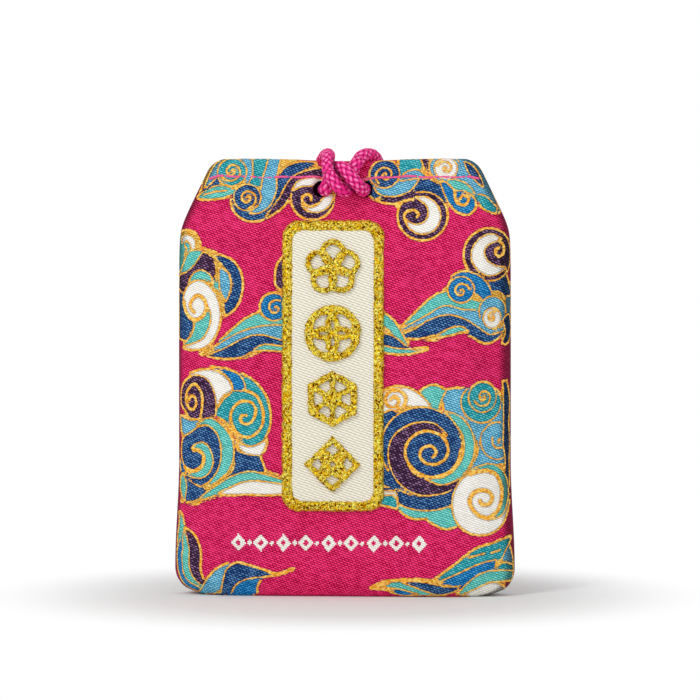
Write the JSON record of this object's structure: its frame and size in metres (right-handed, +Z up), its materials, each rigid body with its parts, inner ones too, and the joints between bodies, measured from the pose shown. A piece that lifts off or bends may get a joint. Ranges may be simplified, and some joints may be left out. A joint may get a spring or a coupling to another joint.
{
  "type": "brocade charm bag with hanging cord",
  "caption": "Flat padded brocade pouch with clipped top corners, a framed front label, two cord holes and a knotted hanging loop that swings over its hem.",
  "frame": {"origin": "middle of the flat base that the bag stands on, on its seam plane", "axes": "+Z up from the base to the hem, +X to the right across the front, +Y from the front to the back"},
  "size_m": [0.05, 0.0173, 0.066],
  "materials": {
    "brocade": "woven brocade, magenta ground with cloud scrolls in blue, teal, plum and white edged in orange",
    "label_cloth": "cream twill",
    "gold_thread": "raised sparkling gold thread",
    "sewing_thread": "twisted pink thread",
    "braided_cord": "round braid, satin",
    "card": "grey card",
    "cypress_wood": "plain planed wood",
    "wrapping_paper": "plain white paper",
    "cotton_wadding": "loose cotton"
  },
  "bodies": {
    "pouch": {"front_panel": "brocade", "back_panel": "brocade", "label_ground": "label_cloth", "gold_frame": "gold_thread", "ornament_plum_blossom": "gold_thread", "ornament_linked_rings": "gold_thread", "ornament_tortoiseshell": "gold_thread", "ornament_flower_lozenge": "gold_thread", "hem_stitch_front": "sewing_thread", "hem_stitch_back": "sewing_thread", "stiffener_card": "card", "amulet_tablet": "cypress_wood", "amulet_wrapper": "wrapping_paper", "front_padding": "cotton_wadding", "back_padding": "cotton_wadding", "binding_cord": "braided_cord", "hanging_cord_bight": "braided_cord", "hanging_cord_turn_left": "braided_cord", "hanging_cord_turn_right": "braided_cord"},
    "hanging_loop": {"loop_strand_left": "braided_cord", "loop_strand_right": "braided_cord", "loop_knot": "braided_cord", "loop_tail_left": "braided_cord", "loop_tail_right": "braided_cord"}
  },
  "joints": [
    {"name": "loop_swing", "type": "hinge", "parent": "pouch", "child": "hanging_loop", "pos_m": [0, 0, 0.06265], "axis": [1, 0, 0], "range_deg": [0, 180], "deforming": ["hanging_cord_turn_left", "hanging_cord_turn_right"]}
  ]
}
